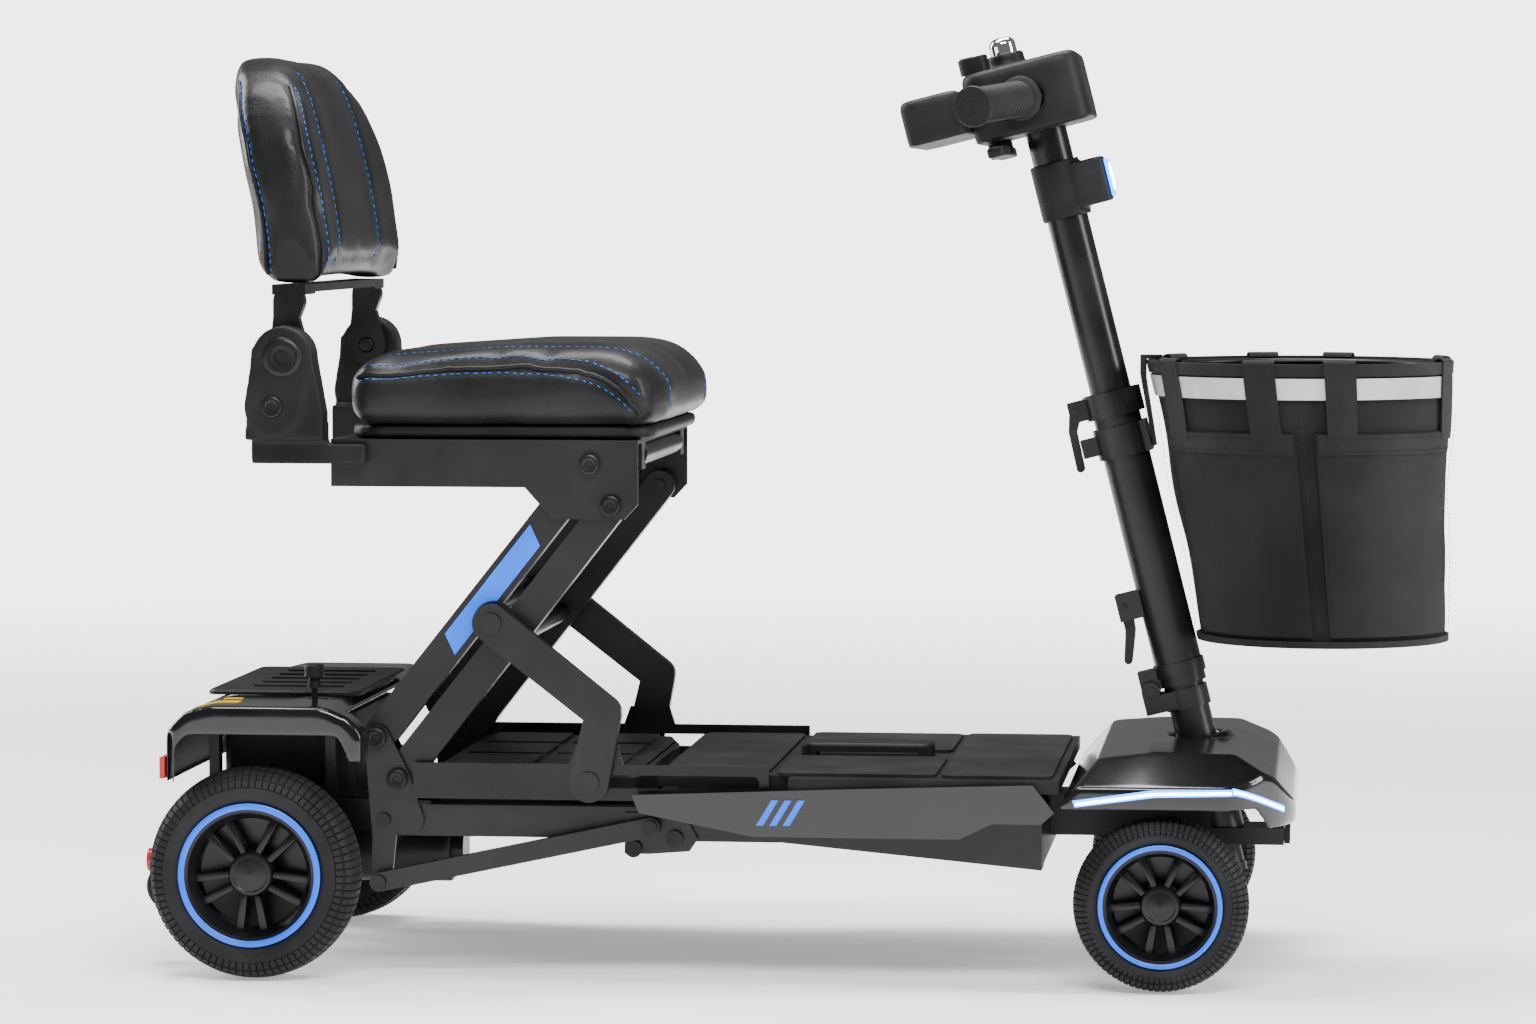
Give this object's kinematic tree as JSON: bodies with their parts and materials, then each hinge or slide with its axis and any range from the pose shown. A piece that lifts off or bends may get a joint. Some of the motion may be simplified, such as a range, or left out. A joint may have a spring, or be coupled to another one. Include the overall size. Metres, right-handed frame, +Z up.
{
  "type": "folding mobility scooter",
  "caption": "Four-wheel folding mobility scooter with a scissor-folding seat tower, telescopic tiller, padded seat and front basket.",
  "frame": {"origin": "on the floor under the middle of the overall length and width", "axes": "+X forwards, +Y to the rider's left, +Z up"},
  "size_m": [1.255, 0.47, 0.8973],
  "materials": {
    "frame": "satin black powder coat",
    "steel": "zinc plated",
    "dark_steel": "black oxide",
    "tyre": "moulded tread",
    "rim": "satin black",
    "cover": "gloss black",
    "trim": "textured black",
    "mat": "ribbed rubber",
    "battery": "moulded",
    "cushion": "black synthetic leather",
    "bag": "black woven polyester",
    "grip": "soft ribbed",
    "lens": "clear lens",
    "led": "lit light guide",
    "red_lens": "red lens",
    "chrome": "polished"
  },
  "bodies": {
    "chassis": {"rear_frame": "frame", "pivot_plates": "frame", "guide_rails": "frame", "transaxle": "frame", "drive_motor": "dark_steel", "battery_pack": "battery", "rear_cover": "cover", "tail_lamps": "red_lens", "controller": "trim", "mid_cover": "trim", "deck_board": "trim", "deck_mats": "mat", "carry_handle": "trim", "side_skirts": "cover", "front_frame": "frame", "frame_bolts": "steel", "front_cover": "cover", "led_strips": "led"},
    "battery_lid": {"battery_lid": "trim"},
    "freewheel_lever": {"freewheel_lever": "trim"},
    "rear_wheel_right": {"rear_tyre_right": "tyre", "rear_rim_right": "rim"},
    "rear_wheel_left": {"rear_tyre_left": "tyre", "rear_rim_left": "rim"},
    "anti_tip_right": {"anti_tip_wheel_right": "trim"},
    "anti_tip_left": {"anti_tip_wheel_left": "trim"},
    "knuckle_right": {"knuckle_right": "dark_steel"},
    "knuckle_left": {"knuckle_left": "dark_steel"},
    "front_wheel_right": {"front_tyre_right": "tyre", "front_rim_right": "rim"},
    "front_wheel_left": {"front_tyre_left": "tyre", "front_rim_left": "rim"},
    "tie_rod": {"tie_rod": "dark_steel"},
    "column": {"steering_column": "frame"},
    "tiller": {"lower_stem": "frame", "stem_clamp": "frame", "basket_bracket": "frame"},
    "fold_lever": {"fold_lever": "dark_steel"},
    "clamp_lever": {"clamp_lever": "dark_steel"},
    "mast": {"upper_stem": "frame", "headlamp_housing": "trim", "headlamp_lens": "lens", "head_shell": "cover", "dash_panel": "trim", "handlebar": "frame", "grips": "grip"},
    "throttle": {"throttle_paddle": "trim"},
    "speed_dial": {"speed_dial": "trim"},
    "horn": {"horn_button": "chrome"},
    "basket": {"basket_bag": "bag", "basket_rim": "dark_steel"},
    "links_upper": {"upper_links": "frame"},
    "links_lower": {"lower_links": "frame"},
    "strut": {"struts": "frame"},
    "seat": {"seat_rails": "frame", "seat_shell": "trim", "seat_cushion": "cushion", "seat_hinges": "trim"},
    "backrest": {"back_brackets": "dark_steel", "backrest_pad": "cushion"}
  },
  "joints": [
    {"name": "seat_fold", "type": "hinge", "parent": "chassis", "child": "links_upper", "pos_m": [-0.388, 0, 0.229], "axis": [0, 1, 0], "range_deg": [0, 42]},
    {"name": "lower_link_turn", "type": "hinge", "parent": "chassis", "child": "links_lower", "pos_m": [-0.368, 0, 0.19], "axis": [0, 1, 0], "range_deg": [0, 42]},
    {"name": "seat_level", "type": "hinge", "parent": "links_upper", "child": "seat", "pos_m": [-0.1825, 0, 0.4905], "axis": [0, 1, 0], "range_deg": [-42, 0]},
    {"name": "strut_turn", "type": "hinge", "parent": "links_lower", "child": "strut", "pos_m": [-0.27499, 0, 0.34001], "axis": [0, 1, 0], "range_deg": [-84, 0]},
    {"name": "backrest_fold", "type": "hinge", "parent": "seat", "child": "backrest", "pos_m": [-0.468, 0, 0.592], "axis": [0, 1, 0], "range_deg": [0, 57]},
    {"name": "battery_lid_open", "type": "hinge", "parent": "chassis", "child": "battery_lid", "pos_m": [-0.566, 0, 0.2625], "axis": [0, -1, 0], "range_deg": [0, 60]},
    {"name": "freewheel_select", "type": "hinge", "parent": "chassis", "child": "freewheel_lever", "pos_m": [-0.455, -0.15, 0.262], "axis": [0, 1, 0], "range_deg": [0, 30]},
    {"name": "rear_wheel_right_spin", "type": "hinge", "parent": "chassis", "child": "rear_wheel_right", "pos_m": [-0.502, -0.2025, 0.1015], "axis": [0, 1, 0], "continuous": true},
    {"name": "anti_tip_right_spin", "type": "hinge", "parent": "chassis", "child": "anti_tip_right", "pos_m": [-0.603, -0.12, 0.075], "axis": [0, 1, 0], "continuous": true},
    {"name": "knuckle_right_steer", "type": "hinge", "parent": "chassis", "child": "knuckle_right", "pos_m": [0.3575, -0.155, 0.1], "axis": [0, 0, 1], "range_deg": [-30, 30]},
    {"name": "front_wheel_right_spin", "type": "hinge", "parent": "knuckle_right", "child": "front_wheel_right", "pos_m": [0.3575, -0.196, 0.0826], "axis": [0, 1, 0], "continuous": true},
    {"name": "rear_wheel_left_spin", "type": "hinge", "parent": "chassis", "child": "rear_wheel_left", "pos_m": [-0.502, 0.2025, 0.1015], "axis": [0, 1, 0], "continuous": true},
    {"name": "anti_tip_left_spin", "type": "hinge", "parent": "chassis", "child": "anti_tip_left", "pos_m": [-0.603, 0.12, 0.075], "axis": [0, 1, 0], "continuous": true},
    {"name": "knuckle_left_steer", "type": "hinge", "parent": "chassis", "child": "knuckle_left", "pos_m": [0.3575, 0.155, 0.1], "axis": [0, 0, 1], "range_deg": [-30, 30]},
    {"name": "front_wheel_left_spin", "type": "hinge", "parent": "knuckle_left", "child": "front_wheel_left", "pos_m": [0.3575, 0.196, 0.0826], "axis": [0, 1, 0], "continuous": true},
    {"name": "steering", "type": "hinge", "parent": "chassis", "child": "column", "pos_m": [0.3717, 0, 0.2718], "axis": [-0.2453, 0, 0.9694], "range_deg": [-30, 30]},
    {"name": "tie_rod_slide", "type": "slide", "parent": "chassis", "child": "tie_rod", "axis": [0, 1, 0], "range_m": [-0.032, 0.032]},
    {"name": "tiller_fold", "type": "hinge", "parent": "column", "child": "tiller", "pos_m": [0.34097, 0, 0.26402], "axis": [0, -1, 0], "range_deg": [0, 30]},
    {"name": "fold_latch", "type": "hinge", "parent": "tiller", "child": "fold_lever", "pos_m": [0.31546, 0, 0.34731], "axis": [0, 1, 0], "range_deg": [0, 20]},
    {"name": "clamp_release", "type": "hinge", "parent": "tiller", "child": "clamp_lever", "pos_m": [0.26617, 0, 0.53392], "axis": [0, 1, 0], "range_deg": [0, 90]},
    {"name": "stem_height", "type": "slide", "parent": "tiller", "child": "mast", "axis": [-0.2453, 0, 0.9694], "range_m": [-0.12, 0]},
    {"name": "throttle_turn", "type": "hinge", "parent": "mast", "child": "throttle", "pos_m": [0.19341, 0, 0.78886], "axis": [-0.2453, 0, 0.9694], "range_deg": [-12, 12], "stiffness_Nm_per_rad": 0.5},
    {"name": "speed_dial_turn", "type": "hinge", "parent": "mast", "child": "speed_dial", "pos_m": [0.16917, -0.036, 0.86835], "axis": [-0.2453, 0, 0.9694], "range_deg": [-135, 135]},
    {"name": "horn_press", "type": "slide", "parent": "mast", "child": "horn", "axis": [0.2453, 0, -0.9694], "range_m": [0, 0.003], "stiffness_N_per_m": 800, "springref_m": -0.001},
    {"name": "basket_lift", "type": "slide", "parent": "tiller", "child": "basket", "axis": [0, 0, 1], "range_m": [0, 0.08]}
  ],
  "couplings": [
    {"joint": "lower_link_turn", "follows": "seat_fold", "ratio": 1},
    {"joint": "seat_level", "follows": "seat_fold", "ratio": -1},
    {"joint": "strut_turn", "follows": "seat_fold", "ratio": -2},
    {"joint": "knuckle_right_steer", "follows": "steering", "ratio": 1},
    {"joint": "knuckle_left_steer", "follows": "steering", "ratio": 1},
    {"joint": "tie_rod_slide", "follows": "steering", "m_per_rad": -0.06}
  ]
}
